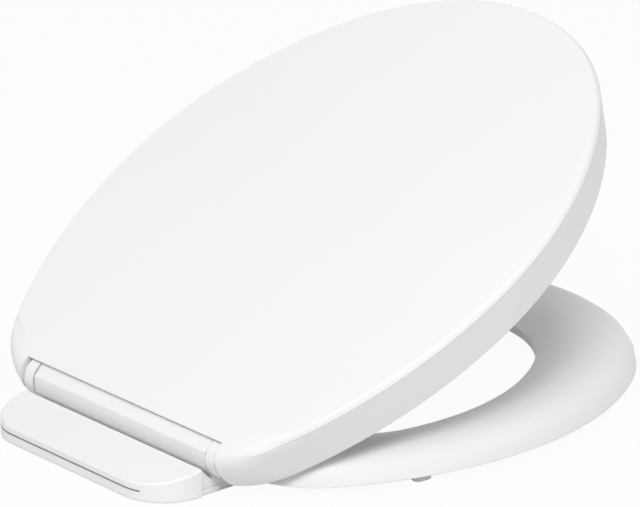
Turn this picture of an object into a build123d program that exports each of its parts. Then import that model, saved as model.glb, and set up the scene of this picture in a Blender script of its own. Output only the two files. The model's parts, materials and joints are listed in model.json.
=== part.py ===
from build123d import *
import math
import os

# A toilet seat with a lid that caps over a closed-front ring, and a barrel hinge with a deck behind it.
# Millimetres, +Z up. The origin is midway between the two mounting holes, on the bowl's rim plane.
# X runs along the hinge, the seat points towards -Y, and the lid is part open at rest.

# Mounting and hinge
bolt_spacing = 140.0
bolt_hole_d = 10.5
axis_ahead = 32.0
axis_height = 23.0
lid_open = 29.4

# Lid: plan outline at the top edge, measured from the hinge axis
lid_half_width = 180.0
lid_reach = 383.6
lid_widest = 174.5
lid_front_r = 161.2
lid_side_r = 291.0
lid_corner_r = 57.0

# Lid: heights about the hinge axis, and the wall
lid_top = 14.6
lid_band = 4.4
lid_depth = 34.4
lid_edge_round = 1.0
lid_edge_power = 6
lid_bulge = 1.0
lid_lean = 6.5
lid_panel = 4.2
lid_wall = 2.0
nose_depth = 15.0
nose_foot = 3.0
lip_reach = 0.5
lid_turn = 134.0
lid_band_steps = (0, 0.1, 0.5, 1)
nose_upper_turn = 22.5
nose_turns = (0, 33, 56, 75, 90)
nose_inner_turns = (0, 45, 90)

# Hinge barrel, deck and cover
barrel_r = 12.9
barrel_half = 86.7
barrel_wall = 3.2
barrel_flat = 12.0
barrel_slope = 47.0
barrel_face = 11.95
deck_step = 3.0
deck_front = 17.0
deck_rear = 53.0
deck_corner_r = 32.0
deck_front_height = 18.5
deck_rear_height = 11.5
plate_thick = 4.0
cover_thick = 3.0
cover_skirt = 2.2
cover_rib = 2.4
cover_lift = 0.4
cover_edge = 0.9
cover_rib_place = 35.0
bolt_boss = 4.0
bolt_boss_height = 2.5
neck_rear = 7.0
neck_rib = 3.0
neck_roof = 2.4
neck_pockets = 4
slot_height = 1.3
slot_lip = 4.2
slot_near = 70.0
slot_far = 84.0
slot_deep = 1.6

# Seat ring: plan outline of its lower edge, and its section
ring_half_width = 168.3
ring_reach = 374.6
ring_widest = 167.0
ring_front_r = 146.7
ring_side_r = 250.0
ring_corner_r = 62.0
ring_rear = 17.5
ring_lift = 4.9
ring_round = 19.0
ring_height = 19.5
ring_skin = 4.6
ring_slope = 36.0
ring_wall = 4.0
ring_rib = 2.4
ring_ribs = 8
dome_turns = (0, 22.5, 45, 67.5, 90)
dome_inner_turns = (0, 45, 90)

# Hole in the ring
hole_half_width = 114.3
hole_reach = 304.2
hole_widest = 156.6
hole_front_r = 95.9
hole_side_r = 190.0
hole_corner_r = 60.0
hole_rear = 78.0
hole_dip = 8.35
hole_lip = 5.0
dish_wide = 30.0
dish_shoulder = 20.0
dish_dip = 1.6

# Knuckles and ears
knuckle_r = 13.0
knuckle_wide = 8.6
arm_reach = 30.0
arm_r = 6.0
arm_drop = 9.0
ear_plate = 3.5
ear_boss_r = 8.5
ear_boss_long = 15.0

# Dampers
damper_long = 70.0
damper_shell = 1.9
drum_r = 6.6
drum_long = 44.0
shaft_r = 4.0
shaft_flat = 3.1
tail_r = 3.0
cap_long = 5.0

# Rubber bumpers and pads
foot_long = 14.0
foot_wide = 9.0
foot_boss = 1.6
foot_sink = 3.0
foot_bevel = 3.0
foot_inset = 16.3
foot_side_reach = 107.0
foot_front = 96.0
foot_front_inset = 60.0
button_long = 14.0
button_wide = 8.0
button_sink = 2.0
button_side_reach = 120.0
button_front = 78.0
bumper_edge = 1.0
pad_side = 17.0
pad_thick = 1.5

# Clearances
end_gap = 0.9
ear_gap = 2.0
lid_float = 1.6
plate_gap = 1.2
lip_gap = 0.7
turn_gap = 0.7
cover_gap = 0.3
running_gap = 0.06
drum_gap = 0.4
snug_gap = 0.1
button_gap = 0.4

# Derived places, all about the hinge axis
axis_y = -axis_ahead
bowl_z = -axis_height
deck_front_z = bowl_z + deck_front_height
deck_rear_z = bowl_z + deck_rear_height
lid_crease = lid_top - lid_band
lid_low = lid_top - lid_depth
ring_low = bowl_z + ring_lift
ring_crown = ring_low + ring_height
hole_top = ring_crown - hole_dip
hole_low = hole_top - hole_lip
knuckle_in = barrel_half + end_gap
knuckle_out = knuckle_in + knuckle_wide
ear_in = knuckle_out + ear_gap
ear_hole = ear_in + ear_boss_long - ear_plate
pin_end = ear_hole - lid_float - end_gap
damper_r = barrel_r - barrel_wall - snug_gap
damper_bore = drum_r + drum_gap
deck_half = barrel_half + deck_step
channel_r = math.hypot(lid_top, lip_reach) + turn_gap


def outline(half_width, reach, widest, front_r, side_r, corner_r, rear, grow, z):
    """A flat egg-shaped face of tangent arcs, from front to rear corners, closed by a straight rear."""
    length = reach - widest
    flank_r = (half_width ** 2 + length ** 2 - 2 * length * front_r) / (2 * (half_width - front_r))
    flank_x = half_width - flank_r
    lean = math.degrees(math.atan2(length - front_r, -flank_x))
    side_x = half_width - side_r
    corner_y = -rear - corner_r
    rise = corner_y + widest
    run = math.sqrt((side_r - corner_r) ** 2 - rise ** 2)
    corner_x = side_x + run
    swing = math.degrees(math.atan2(rise, run))
    edges = [
        CenterArc((side_x, -widest), side_r + grow, 0, swing),
        CenterArc((corner_x, corner_y), corner_r + grow, swing, 90 - swing),
        Line((corner_x, grow - rear), (-corner_x, grow - rear)),
        CenterArc((-corner_x, corner_y), corner_r + grow, 90, 90 - swing),
        CenterArc((-side_x, -widest), side_r + grow, 180 - swing, swing),
        CenterArc((-flank_x, -widest), flank_r + grow, 180, lean),
        CenterArc((0, front_r - reach), front_r + grow, 180 + lean, 180 - 2 * lean),
        CenterArc((flank_x, -widest), flank_r + grow, -lean, lean),
    ]
    return Pos(0, 0, z) * make_face(edges)


def lid_outline(grow, rear, z):
    """The lid's plan at a height, its sides set out by grow and its rear edge behind the axis by rear."""
    return outline(lid_half_width, lid_reach, lid_widest, lid_front_r, lid_side_r, lid_corner_r,
                   grow - rear, grow, z)


def ring_outline(grow, z):
    return outline(ring_half_width, ring_reach, ring_widest, ring_front_r, ring_side_r, ring_corner_r,
                   ring_rear, grow, z)


def hole_outline(grow, z):
    return outline(hole_half_width, hole_reach, hole_widest, hole_front_r, hole_side_r, hole_corner_r,
                   hole_rear, grow, z)


def rod(radius, x_from, x_to):
    """A cylinder along the hinge axis."""
    middle = (x_from + x_to) / 2
    return Pos(middle, 0, 0) * Rot(0, 90, 0) * Cylinder(radius, abs(x_to - x_from))


def block(x_from, x_to, y_from, y_to, z_from, z_to):
    """A box given by its corner planes."""
    size = (abs(x_to - x_from), abs(y_to - y_from), abs(z_to - z_from))
    centre = ((x_from + x_to) / 2, (y_from + y_to) / 2, (z_from + z_to) / 2)
    return Pos(*centre) * Box(*size)


def bar(width, length, x, y, z_from, z_to):
    """An upright box centred on a place."""
    return block(x - width / 2, x + width / 2, y - length / 2, y + length / 2, z_from, z_to)


def disc(radius, x, y, z_from, z_to):
    """An upright cylinder."""
    return Pos(x, y, (z_from + z_to) / 2) * Cylinder(radius, abs(z_to - z_from))


def bevelled_bar(width, length, bevel, x, y, z_from, z_to):
    """An upright box with its four upright edges bevelled."""
    upright = bar(width, length, x, y, z_from, z_to)
    return chamfer(upright.edges().filter_by(Axis.Z), bevel)


def both_sides(shape):
    return [shape, mirror(shape, Plane.YZ)]


# Lid, drawn closed
def nose(z):
    """How far behind the hinge axis the lid's rear stands at a height: round the axis, fuller below."""
    if z >= 0:
        return nose_depth * math.sqrt(max(0, 1 - (z / lid_top) ** 2))
    return nose_foot + (nose_depth - nose_foot) * math.sqrt(max(0, 1 - (z / lid_low) ** 2))


def lid_side(z):
    """How far the lid's side stands out from its top outline: widest at the crease, leaning in below."""
    if z >= lid_crease:
        drop = (lid_top - z) / lid_band
        return lid_bulge * drop - lid_edge_round * (1 - drop) ** lid_edge_power
    return lid_bulge - (lid_bulge + lid_lean) * (lid_crease - z) / (lid_crease - lid_low)


def share(turn):
    """How much of its full height a quarter round has reached at a turn in degrees."""
    return math.sin(math.radians(turn))


def make_lid():
    levels = [lid_top - lid_band * step for step in lid_band_steps]
    levels.append(lid_top * share(nose_upper_turn))
    levels += [lid_low * share(turn) for turn in nose_turns]
    skin = loft([lid_outline(lid_side(z), nose(z), z) for z in levels], ruled=True)

    under = lid_top - lid_panel
    inner_levels = [under] + [lid_low * share(turn) for turn in nose_inner_turns]
    inner = [lid_outline(lid_side(z) - lid_wall, nose(z) - lid_wall, z) for z in inner_levels]
    hollow = loft(inner, ruled=True)

    notch = rod(barrel_r + lip_gap, -ear_in, ear_in)
    notch += block(-ear_in, ear_in, -lip_reach, 3 * nose_depth, 2 * lid_low, 2 * lid_top)
    notch += block(-ear_in, ear_in, -barrel_r - lip_gap, 0, 2 * lid_low, 0)

    shell = skin - hollow
    for side in (1, -1):
        plate = rod(ring_rear - plate_gap, side * ear_in, side * (ear_in + ear_plate))
        boss = rod(ear_boss_r, side * ear_in, side * (ear_in + ear_boss_long))
        shell += (plate + boss) & skin
    for x, y in button_places():
        shell -= bar(button_wide + snug_gap, button_long + snug_gap, x, y, lid_low, under + button_sink)
    shell -= notch

    for side in (1, -1):
        bore = tail_r if side > 0 else shaft_r
        hole = rod(bore + running_gap, 0, side * ear_hole)
        if side < 0:
            flat = shaft_flat + running_gap
            hole &= block(0, -ear_hole, -barrel_r, barrel_r, -flat, flat)
        shell -= hole
    return shell


# Seat ring
def ring_dome(inset, height, turns):
    """The ring's rounded outer form from its lower edge up to the crown, set in all round."""
    faces = []
    for turn in turns:
        retreat = inset + ring_round * (1 - share(90 - turn))
        faces.append(ring_outline(-retreat, ring_low + height * share(turn)))
    return loft(faces, ruled=True)


def ring_dish():
    """The dished opening from the crown down to the lip of the hole."""
    edge = hole_outline(dish_wide, ring_crown)
    shoulder = hole_outline(dish_shoulder, ring_crown - dish_dip)
    lip = hole_outline(0, hole_top)
    return loft([edge, shoulder, lip], ruled=True)


def ring_hollow():
    """The space under the ring's skin, between its outer wall and the wall of the hole."""
    below = ring_low - ring_lift
    roof = ring_crown - ring_skin
    space = ring_dome(ring_wall, ring_height - ring_skin, dome_inner_turns)
    space += extrude(ring_outline(-ring_wall, below), ring_lift)
    funnel = [hole_outline(ring_wall, hole_low), hole_outline(ring_wall + ring_slope, roof)]
    space -= loft(funnel, ruled=True)
    return space - extrude(hole_outline(ring_wall, below), ring_height + ring_lift)


def ring_arm():
    """A knuckle on the hinge axis and the arm that joins it to the rear of the ring."""
    knuckle = Circle(knuckle_r)
    root = Pos(-arm_reach, -arm_drop) * Circle(arm_r)
    profile = make_hull(knuckle.edges() + root.edges())
    return extrude(Plane.YZ.offset(knuckle_in) * profile, knuckle_wide)


def foot_places():
    places = []
    for side in (1, -1):
        places.append((side * (ring_half_width - foot_inset), -foot_side_reach))
        places.append((side * foot_front, foot_front_inset - ring_reach))
    return places


def make_ring():
    below = ring_low - ring_lift
    skin = ring_dome(0, ring_height, dome_turns) - ring_dish()
    skin -= extrude(hole_outline(0, below), ring_height + ring_lift)

    inside = []
    post = (foot_wide + 2 * foot_boss, foot_long + 2 * foot_boss)
    for number in range(ring_ribs):
        spoke = block(0, ring_reach, -ring_rib / 2, ring_rib / 2, hole_low, ring_crown)
        inside.append(Pos(0, -hole_widest, 0) * Rot(0, 0, 360 * (number + 0.5) / ring_ribs) * spoke)
    for x, y in foot_places():
        inside.append(bar(*post, x, y, ring_low, ring_crown))
    shell = skin - ring_hollow()
    for piece in inside:
        shell += piece & skin
    shell -= extrude(hole_outline(ring_wall + snug_gap, hole_low), -ring_height)
    shell += both_sides(ring_arm())

    pocket = (foot_wide + snug_gap, foot_long + snug_gap, foot_bevel)
    for x, y in foot_places():
        shell -= bevelled_bar(*pocket, x, y, below, ring_low + foot_sink)
    shell -= rod(shaft_r + running_gap, -knuckle_in, -knuckle_out)
    shell -= keyed_rod(knuckle_in, knuckle_out)
    return shell


# Hinge base, deck cover and pads
def deck_outline(grow, front, z):
    """A flat face with a straight front edge and round rear corners."""
    half = deck_half + grow
    rear = deck_rear + grow
    corner = deck_corner_r + grow
    edges = [
        Line((-half, front), (half, front)),
        Line((half, front), (half, rear - corner)),
        CenterArc((half - corner, rear - corner), corner, 0, 90),
        Line((half - corner, rear), (-half + corner, rear)),
        CenterArc((-half + corner, rear - corner), corner, 90, 90),
        Line((-half, rear - corner), (-half, front)),
    ]
    return Pos(0, 0, z) * make_face(edges)


def barrel_profile():
    """Side view of the barrel: round, with a sloping face and a flat wall behind."""
    size = 4 * barrel_r
    face = Rot(0, 0, -barrel_slope) * Pos(0, barrel_face - size / 2) * Rectangle(size, size)
    wall = Pos(barrel_flat - size / 2, 0) * Rectangle(size, size)
    return Circle(barrel_r) & face & wall


def base_profile():
    """Side view of the base: the barrel on its neck, and the saddle that the lid's lip swings into."""
    rear = deck_front - cover_gap
    top = deck_front_z - cover_gap
    saddle = Pos((rear - barrel_r) / 2, (top + bowl_z) / 2) * Rectangle(rear + barrel_r, top - bowl_z)
    saddle -= Circle(channel_r)
    swung_lid = Pos(axis_height, -channel_r / 2) * Rectangle(2 * axis_height, channel_r)
    saddle -= Rot(0, 0, 180 - lid_turn) * swung_lid
    neck = Pos((neck_rear - barrel_r) / 2, bowl_z / 2) * Rectangle(neck_rear + barrel_r, axis_height)
    return saddle + neck + barrel_profile()


def make_base():
    inset = -cover_skirt - cover_gap
    base = extrude(Plane.YZ * base_profile(), barrel_half, both=True)
    base += extrude(deck_outline(inset, 0, bowl_z), plate_thick)
    for side in (1, -1):
        x = side * bolt_spacing / 2
        boss_top = bowl_z + plate_thick + bolt_boss_height
        base += disc(bolt_hole_d / 2 + bolt_boss, x, axis_ahead, bowl_z, boss_top)
        pad_space = pad_side + snug_gap
        base -= bar(pad_space, pad_space, x, axis_ahead, bowl_z, bowl_z + pad_thick)
        base -= disc(bolt_hole_d / 2, x, axis_ahead, bowl_z - plate_thick, deck_front_z)

    roof = -channel_r - neck_roof
    bay = (2 * barrel_half - (neck_pockets + 1) * neck_rib) / neck_pockets
    for number in range(neck_pockets):
        x = -barrel_half + neck_rib + number * (bay + neck_rib)
        base -= block(x, x + bay, -barrel_r + neck_rib, deck_front - neck_rib, bowl_z - plate_thick, roof)
    for side in (1, -1):
        base -= rod(barrel_r - barrel_wall, side * (barrel_half - damper_long), side * barrel_half)
    return base


def deck_block(grow, front, low, drop):
    """A solid under the sloping deck, its top lowered by drop."""
    slope = [(front, low), (front, deck_front_z - drop), (deck_rear, deck_rear_z - drop), (deck_rear, low)]
    wedge = extrude(Plane.YZ * make_face(Polyline(*slope, close=True)), deck_half, both=True)
    return wedge & extrude(deck_outline(grow, deck_front, low), deck_front_height)


def make_cover():
    low = bowl_z + cover_lift
    plate_top = bowl_z + plate_thick
    cover = deck_block(0, deck_front, low, 0)
    rim = cover.faces().sort_by(Axis.Z)[-1].edges().sort_by(Axis.Y)[1:]
    cover = chamfer(rim, cover_edge)
    hollow = deck_block(-cover_skirt, deck_front + cover_skirt, low, cover_thick)
    cover -= hollow
    inner = deck_half - cover_skirt
    cover -= block(-inner, inner, 0, deck_front + cover_skirt, low, plate_top + cover_gap)

    slot_low = deck_rear_z - slot_lip - slot_height
    slot = extrude(deck_outline(cover_skirt, deck_front, slot_low), slot_height)
    slot -= extrude(deck_outline(-slot_deep, deck_front, slot_low), slot_height)
    corner = deck_rear - deck_corner_r
    cover -= slot & block(-slot_near, slot_far, corner, 2 * deck_rear, bowl_z, deck_rear_z)

    for x in (-cover_rib_place, cover_rib_place):
        rib = block(x - cover_rib / 2, x + cover_rib / 2, deck_front, deck_rear, plate_top, deck_front_z)
        cover += rib & hollow
    return cover


def make_pad():
    x = bolt_spacing / 2
    pad = bar(pad_side, pad_side, x, axis_ahead, bowl_z, bowl_z + pad_thick)
    pad &= extrude(deck_outline(-cover_skirt - cover_gap, 0, bowl_z), pad_thick)
    return pad - disc(bolt_hole_d / 2 + pad_thick, x, axis_ahead, bowl_z, bowl_z + pad_thick)


# Rotary dampers, drawn at the right-hand end
def keyed_rod(x_from, x_to):
    """A rod along the axis with two flats."""
    return rod(shaft_r, x_from, x_to) & block(x_from, x_to, -shaft_r, shaft_r, -shaft_flat, shaft_flat)


def make_damper_body():
    inner = barrel_half - damper_long
    return rod(damper_r, inner, barrel_half) - rod(damper_bore, inner + damper_shell, barrel_half)


def make_damper_cap():
    inner = barrel_half - cap_long
    return rod(damper_bore - snug_gap, inner, barrel_half) - rod(shaft_r + running_gap, inner, barrel_half)


def make_damper_drum():
    start = barrel_half - damper_long + damper_shell + drum_gap
    return rod(drum_r, start, start + drum_long) + rod(shaft_r, start + drum_long, barrel_half)


def make_seat_shaft():
    shaft = make_damper_drum() + rod(tail_r, barrel_half, pin_end)
    return shaft + keyed_rod(barrel_half, knuckle_out)


def make_lid_shaft():
    shaft = make_damper_drum() + rod(shaft_r, barrel_half, knuckle_out)
    return shaft + keyed_rod(barrel_half, pin_end)


# Rubber feet and buttons
def make_foot(x, y):
    foot = bevelled_bar(foot_wide, foot_long, foot_bevel, x, y, bowl_z, ring_low + foot_sink)
    return chamfer(foot.faces().sort_by(Axis.Z)[0].edges(), bumper_edge)


def crown_half_width(reach):
    """Half the width between the ring's crowns, behind its widest place."""
    crown_r = ring_side_r - ring_round
    return ring_half_width - ring_side_r + math.sqrt(crown_r ** 2 - (ring_widest - reach) ** 2)


def crown_reach(x):
    """How far forward the ring's crown is at a place across its front."""
    across = x / (ring_half_width - ring_round)
    return ring_widest + (ring_reach - ring_round - ring_widest) * math.sqrt(1 - across ** 2)


def button_places():
    places = []
    for side in (1, -1):
        places.append((side * crown_half_width(button_side_reach), -button_side_reach))
        places.append((side * button_front, -crown_reach(button_front)))
    return places


def make_button(x, y):
    top = lid_top - lid_panel + button_sink
    button = bar(button_wide, button_long, x, y, ring_crown + button_gap, top)
    return chamfer(button.faces().sort_by(Axis.Z)[0].edges(), bumper_edge)


# Assembly at rest
on_base = Pos(0, axis_y, axis_height)
on_pin = on_base * Rot(-lid_open, 0, 0)
on_lid = on_pin * Pos(lid_float, 0, 0)
corners = ("right_rear", "right_front", "left_rear", "left_front")

pieces = {
    "hinge_base": on_base * make_base(),
    "deck_cover": on_base * make_cover(),
    "seat_ring": on_base * make_ring(),
    "lid": on_lid * make_lid(),
    "seat_damper_body": on_base * make_damper_body(),
    "seat_damper_cap": on_base * make_damper_cap(),
    "seat_damper_shaft": on_base * make_seat_shaft(),
    "lid_damper_body": on_base * mirror(make_damper_body(), Plane.YZ),
    "lid_damper_cap": on_base * mirror(make_damper_cap(), Plane.YZ),
    "lid_damper_shaft": on_pin * mirror(make_lid_shaft(), Plane.YZ),
    "base_pad_right": on_base * make_pad(),
    "base_pad_left": on_base * mirror(make_pad(), Plane.YZ),
}
for corner, (x, y) in zip(corners, foot_places()):
    pieces["ring_bumper_" + corner] = on_base * make_foot(x, y)
for corner, (x, y) in zip(corners, button_places()):
    pieces["lid_bumper_" + corner] = on_lid * make_button(x, y)

os.makedirs("parts", exist_ok=True)
for name, piece in pieces.items():
    export_step(piece, "parts/" + name + ".step")
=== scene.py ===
import json
import math

import bpy
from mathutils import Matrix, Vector

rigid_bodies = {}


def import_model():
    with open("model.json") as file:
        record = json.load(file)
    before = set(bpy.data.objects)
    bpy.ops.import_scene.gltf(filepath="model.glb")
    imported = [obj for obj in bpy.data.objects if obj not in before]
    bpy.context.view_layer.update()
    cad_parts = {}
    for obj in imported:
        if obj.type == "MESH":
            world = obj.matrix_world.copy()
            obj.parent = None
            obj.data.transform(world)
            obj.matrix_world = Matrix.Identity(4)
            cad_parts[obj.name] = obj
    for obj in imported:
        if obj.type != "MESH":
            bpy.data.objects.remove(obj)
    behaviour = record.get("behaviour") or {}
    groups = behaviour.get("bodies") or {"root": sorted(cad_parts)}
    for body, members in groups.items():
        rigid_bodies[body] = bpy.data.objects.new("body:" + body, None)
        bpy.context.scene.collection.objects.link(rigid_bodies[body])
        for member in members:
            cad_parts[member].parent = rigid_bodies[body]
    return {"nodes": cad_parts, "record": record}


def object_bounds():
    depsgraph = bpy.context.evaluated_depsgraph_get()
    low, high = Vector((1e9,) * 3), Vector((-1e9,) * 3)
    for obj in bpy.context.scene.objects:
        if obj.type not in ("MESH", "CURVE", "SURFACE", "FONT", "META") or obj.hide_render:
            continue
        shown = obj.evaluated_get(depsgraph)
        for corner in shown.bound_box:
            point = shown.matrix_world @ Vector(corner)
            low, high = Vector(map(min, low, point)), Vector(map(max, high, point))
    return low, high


# Camera: where the photograph was taken from, in degrees and metres, with lens and sensor in millimetres
camera_azimuth = 230.274
camera_elevation = 19.609
camera_distance = 3.6455
camera_lens = 343.8
camera_sensor = 36.0
camera_target = Vector((-0.1788, -0.0351, 0.1793))

# Stage: a pale floor just below the bumpers and an even white sky
floor_size = 60.0
floor_drop = 0.0003
floor_colour = (0.70, 0.70, 0.70, 1)
floor_roughness = 0.9
floor_gloss = 0.1
floor_glow = 0.95
sky_colour = (1, 1, 1, 1)
sky_level = 0.645

# Lamps: azimuth and elevation of each disc round the seat, its distance, its diameter and its power
lamps = {
    "key": (234, 46, 2.8, 1.0, 37),
    "rear": (185, 25, 2.8, 2.2, 5),
}

# Facets of the solids: points that count as one, the angle of a sharp edge, and how rounded edges look
merge_distance = 0.00002
smooth_angle = 25.5
edge_soften = 0.0006
edge_samples = 6

# White plastic: here and below a noise has a scale and a detail, and a relief a depth and a strength
plastic_tints = ((0.845, 0.845, 0.84, 1), (0.865, 0.865, 0.862, 1))
plastic_roughness = (0.36, 0.44)
plastic_gloss = 0.28
plastic_ior = 1.49
plastic_cloud = (9, 3)
plastic_ripple = (420, 2)
plastic_relief = (0.00004, 0.05)

# Grey rubber of the bumpers and pads
rubber_tints = ((0.64, 0.65, 0.66, 1), (0.72, 0.73, 0.74, 1))
rubber_roughness = (0.62, 0.78)
rubber_cloud = (140, 3)
rubber_pits = (1900, 4)
rubber_relief = (0.0001, 0.25)

# Unpolished plastic of the damper pieces, with turning marks
damper_tints = ((0.11, 0.11, 0.12, 1), (0.16, 0.16, 0.17, 1))
shaft_tints = ((0.70, 0.69, 0.66, 1), (0.78, 0.77, 0.74, 1))
satin_roughness = (0.38, 0.52)
satin_cloud = (60, 3)
mark_scale = 300
mark_distortion = 0.6
mark_relief = (0.00005, 0.12)

# Painted shade that darkens the colour inside narrow gaps, and what leaves a colour as it is
untinted = (1, 1, 1, 1)
gap_shade_reach = 0.0025
gap_shade_samples = 8
painted_gap_shade = (0.62, 0.62, 0.62, 1)

# Painted shadow line round the lid's side under its top band, set by height over the hinge axis and
# distance ahead of it in the tilted lid
hinge_axis = Vector((0, -0.032, 0.023))
lid_tilt = 29.4
shadow_line_height = 0.0102
shadow_line_half_width = 0.0004
shadow_line_tint = (0.80, 0.80, 0.80, 1)
shadow_line_start = 0.002
shadow_line_full = 0.020


# Node helpers
def make_material(name):
    material = bpy.data.materials.new(name)
    material.use_nodes = True
    tree = material.node_tree
    return material, tree, tree.nodes["Principled BSDF"]


def add_place(tree):
    """The place on a piece, which turns along with the piece."""
    return tree.nodes.new("ShaderNodeTexCoord").outputs["Object"]


def add_noise(tree, place, scale, detail):
    noise = tree.nodes.new("ShaderNodeTexNoise")
    noise.inputs["Scale"].default_value = scale
    noise.inputs["Detail"].default_value = detail
    tree.links.new(place, noise.inputs["Vector"])
    return noise.outputs["Fac"]


def add_math(tree, operation, *terms):
    """The outcome of an operation on sockets and plain numbers."""
    node = tree.nodes.new("ShaderNodeMath")
    node.operation = operation
    for socket, term in zip(node.inputs, terms):
        if isinstance(term, bpy.types.NodeSocket):
            tree.links.new(term, socket)
        else:
            socket.default_value = term
    return node.outputs["Value"]


def add_range(tree, value, low, high):
    spread = tree.nodes.new("ShaderNodeMapRange")
    spread.inputs["To Min"].default_value = low
    spread.inputs["To Max"].default_value = high
    tree.links.new(value, spread.inputs["Value"])
    return spread.outputs["Result"]


def add_colours(tree, value, first, second):
    ramp = tree.nodes.new("ShaderNodeValToRGB")
    ramp.color_ramp.elements[0].color = first
    ramp.color_ramp.elements[1].color = second
    tree.links.new(value, ramp.inputs["Fac"])
    return ramp.outputs["Color"]


def multiply(tree, first, second):
    mix = tree.nodes.new("ShaderNodeMix")
    mix.data_type = "RGBA"
    mix.blend_type = "MULTIPLY"
    mix.inputs["Factor"].default_value = 1
    tree.links.new(first, mix.inputs["A"])
    tree.links.new(second, mix.inputs["B"])
    return mix.outputs["Result"]


def add_relief(tree, height, depth, strength):
    """A fine relief on a surface whose edges look slightly rounded."""
    edges = tree.nodes.new("ShaderNodeBevel")
    edges.samples = edge_samples
    edges.inputs["Radius"].default_value = edge_soften
    bump = tree.nodes.new("ShaderNodeBump")
    bump.inputs["Distance"].default_value = depth
    bump.inputs["Strength"].default_value = strength
    tree.links.new(height, bump.inputs["Height"])
    tree.links.new(edges.outputs["Normal"], bump.inputs["Normal"])
    return bump.outputs["Normal"]


def add_painted_gap_shade(tree):
    """Painted shade: white in the open and darker inside a narrow gap."""
    shelter = tree.nodes.new("ShaderNodeAmbientOcclusion")
    shelter.samples = gap_shade_samples
    shelter.inputs["Distance"].default_value = gap_shade_reach
    return add_colours(tree, shelter.outputs["AO"], painted_gap_shade, untinted)


def add_distance(tree, place, along):
    """How far a place lies from the hinge axis in a direction."""
    dot = tree.nodes.new("ShaderNodeVectorMath")
    dot.operation = "DOT_PRODUCT"
    dot.inputs[1].default_value = along
    tree.links.new(place, dot.inputs[0])
    return add_math(tree, "SUBTRACT", dot.outputs["Value"], along.dot(hinge_axis))


def add_shadow_line_tint(tree, place):
    """White, with a thin darker line round the lid's side that fades out at the ears: a painted shadow
    under the lid's top band.
    """
    tilt = math.radians(lid_tilt)
    height = add_distance(tree, place, Vector((0, math.sin(tilt), math.cos(tilt))))
    ahead = add_distance(tree, place, Vector((0, -math.cos(tilt), math.sin(tilt))))
    line = add_math(tree, "COMPARE", height, shadow_line_height, shadow_line_half_width)
    fade = tree.nodes.new("ShaderNodeMapRange")
    fade.inputs["From Min"].default_value = shadow_line_start
    fade.inputs["From Max"].default_value = shadow_line_full
    tree.links.new(ahead, fade.inputs["Value"])
    drawn = add_math(tree, "MULTIPLY", line, fade.outputs["Result"])
    return add_colours(tree, drawn, untinted, shadow_line_tint)


# Materials
def gloss_plastic(name, shadow_line):
    """White moulded plastic: a soft gloss, with a faint unevenness left by the mould, and painted shade
    in its narrow gaps.
    """
    material, tree, shader = make_material(name)
    place = add_place(tree)
    cloud = add_noise(tree, place, *plastic_cloud)
    ripple = add_noise(tree, place, *plastic_ripple)
    # The colour is darkened by painted shade in narrow gaps
    tint = multiply(tree, add_colours(tree, cloud, *plastic_tints), add_painted_gap_shade(tree))
    # The lid also gets a painted shadow line round its side
    if shadow_line:
        tint = multiply(tree, tint, add_shadow_line_tint(tree, place))
    tree.links.new(tint, shader.inputs["Base Color"])
    tree.links.new(add_range(tree, cloud, *plastic_roughness), shader.inputs["Roughness"])
    tree.links.new(add_relief(tree, ripple, *plastic_relief), shader.inputs["Normal"])
    shader.inputs["Specular IOR Level"].default_value = plastic_gloss
    shader.inputs["IOR"].default_value = plastic_ior
    return material


def soft_rubber(name):
    """Grey bumper rubber: matte and finely pitted."""
    material, tree, shader = make_material(name)
    place = add_place(tree)
    cloud = add_noise(tree, place, *rubber_cloud)
    pits = add_noise(tree, place, *rubber_pits)
    tree.links.new(add_colours(tree, cloud, *rubber_tints), shader.inputs["Base Color"])
    tree.links.new(add_range(tree, cloud, *rubber_roughness), shader.inputs["Roughness"])
    tree.links.new(add_relief(tree, pits, *rubber_relief), shader.inputs["Normal"])
    return material


def satin_plastic(name, tints):
    """Unpolished engineering plastic of the hidden damper pieces, with turning marks along the axis."""
    material, tree, shader = make_material(name)
    place = add_place(tree)
    cloud = add_noise(tree, place, *satin_cloud)
    marks = tree.nodes.new("ShaderNodeTexWave")
    marks.bands_direction = "X"
    marks.inputs["Scale"].default_value = mark_scale
    marks.inputs["Distortion"].default_value = mark_distortion
    tree.links.new(place, marks.inputs["Vector"])
    tree.links.new(add_colours(tree, cloud, *tints), shader.inputs["Base Color"])
    tree.links.new(add_range(tree, cloud, *satin_roughness), shader.inputs["Roughness"])
    tree.links.new(add_relief(tree, marks.outputs["Fac"], *mark_relief), shader.inputs["Normal"])
    return material


def floor_material(name):
    """A pale floor that looks white to the camera and in reflections, and still takes the shadow."""
    material, tree, shader = make_material(name)
    shader.inputs["Base Color"].default_value = floor_colour
    shader.inputs["Roughness"].default_value = floor_roughness
    shader.inputs["Specular IOR Level"].default_value = floor_gloss
    rays = tree.nodes.new("ShaderNodeLightPath")
    seen = add_math(tree, "MAXIMUM", rays.outputs["Is Camera Ray"], rays.outputs["Is Glossy Ray"])
    glow = tree.nodes.new("ShaderNodeEmission")
    mix = tree.nodes.new("ShaderNodeMixShader")
    tree.links.new(add_math(tree, "MULTIPLY", seen, floor_glow), mix.inputs["Fac"])
    tree.links.new(shader.outputs["BSDF"], mix.inputs[1])
    tree.links.new(glow.outputs["Emission"], mix.inputs[2])
    tree.links.new(mix.outputs["Shader"], tree.nodes["Material Output"].inputs["Surface"])
    return material


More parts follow.
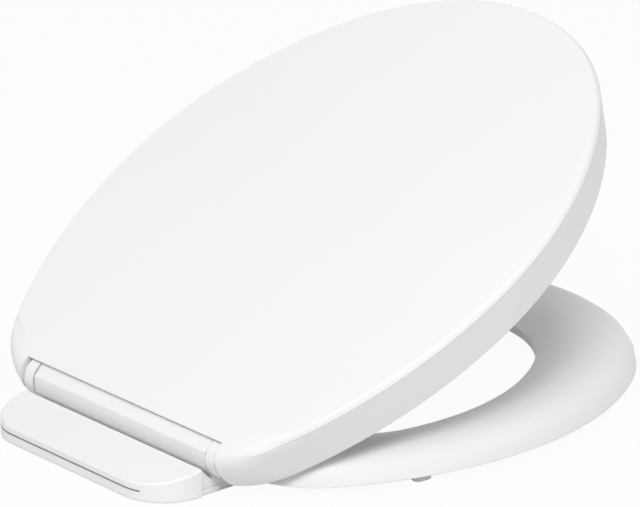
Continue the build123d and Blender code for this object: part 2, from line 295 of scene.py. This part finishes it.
# Dressing of the solids
def smoothing_group():
    """Smooth shading over the small facets of the solids, sharp at real edges."""
    group = bpy.data.node_groups.new("smooth_small_facets", "GeometryNodeTree")
    group.interface.new_socket("Geometry", in_out="INPUT", socket_type="NodeSocketGeometry")
    group.interface.new_socket("Geometry", in_out="OUTPUT", socket_type="NodeSocketGeometry")
    nodes, links = group.nodes, group.links
    start = nodes.new("NodeGroupInput")
    end = nodes.new("NodeGroupOutput")
    merge = nodes.new("GeometryNodeMergeByDistance")
    merge.inputs["Distance"].default_value = merge_distance
    angle = nodes.new("GeometryNodeInputMeshEdgeAngle")
    sharp = nodes.new("FunctionNodeCompare")
    sharp.operation = "GREATER_THAN"
    sharp.inputs["B"].default_value = math.radians(smooth_angle)
    normals = nodes.new("GeometryNodeSetMeshNormal")
    links.new(start.outputs["Geometry"], merge.inputs["Geometry"])
    links.new(merge.outputs["Geometry"], normals.inputs["Mesh"])
    links.new(angle.outputs["Unsigned Angle"], sharp.inputs["A"])
    links.new(sharp.outputs["Result"], normals.inputs["Edge Sharpness"])
    links.new(normals.outputs["Mesh"], end.inputs["Geometry"])
    return group


def dress(node, material, smoothing):
    node.data.materials.clear()
    node.data.materials.append(material)
    modifier = node.modifiers.new("smoothing", "NODES")
    modifier.node_group = smoothing


def dress_all(frame):
    """Each piece takes the look of its material slot, and the lid its own, with the painted shadow line
    on its side.
    """
    looks = {
        "white_plastic": gloss_plastic("gloss_white_plastic", False),
        "grey_rubber": soft_rubber("grey_bumper_rubber"),
        "damper_plastic": satin_plastic("dark_damper_plastic", damper_tints),
        "shaft_plastic": satin_plastic("natural_shaft_plastic", shaft_tints),
    }
    lid_look = gloss_plastic("gloss_white_lid", True)
    smoothing = smoothing_group()
    for part in frame["record"]["subparts"]:
        name = part["node"]
        look = lid_look if name == "lid" else looks[part["material_slot"]]
        dress(frame["nodes"][name], look, smoothing)


# Stage, lamps and camera
def direction(azimuth, elevation):
    """Unit vector from the seat towards a lamp or the camera."""
    turn, lift = math.radians(azimuth), math.radians(elevation)
    return Vector((math.sin(turn) * math.cos(lift), -math.cos(turn) * math.cos(lift), math.sin(lift)))


def aim(thing, place, away):
    """Sets a lamp or a camera at a place, looking back against the direction it lies in."""
    thing.location = place
    thing.rotation_mode = "QUATERNION"
    thing.rotation_quaternion = (-away).to_track_quat("-Z", "Y")
    bpy.context.scene.collection.objects.link(thing)


def make_floor(low):
    bpy.ops.mesh.primitive_plane_add(size=floor_size, location=(0, 0, low - floor_drop))
    floor = bpy.context.object
    floor.name = "floor"
    floor.data.materials.append(floor_material("pale_floor"))


def make_sky():
    world = bpy.data.worlds.new("studio")
    bpy.context.scene.world = world
    world.use_nodes = True
    background = world.node_tree.nodes["Background"]
    background.inputs["Color"].default_value = sky_colour
    background.inputs["Strength"].default_value = sky_level


def make_lamps(centre):
    for name, (azimuth, elevation, distance, diameter, power) in lamps.items():
        data = bpy.data.lights.new(name, "AREA")
        data.shape = "DISK"
        data.size = diameter
        data.energy = power
        away = direction(azimuth, elevation)
        aim(bpy.data.objects.new(name, data), centre + away * distance, away)


def make_camera():
    data = bpy.data.cameras.new("camera")
    data.sensor_fit = "HORIZONTAL"
    data.sensor_width = camera_sensor
    data.lens = camera_lens
    camera = bpy.data.objects.new("camera", data)
    away = direction(camera_azimuth, camera_elevation)
    aim(camera, camera_target + away * camera_distance, away)
    bpy.context.scene.camera = camera


for leftover in list(bpy.data.objects):
    bpy.data.objects.remove(leftover)
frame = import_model()
cad_low, cad_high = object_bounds()
bpy.context.scene.view_settings.view_transform = "Standard"
dress_all(frame)
make_floor(cad_low.z)
make_sky()
make_lamps((cad_low + cad_high) / 2)
make_camera()
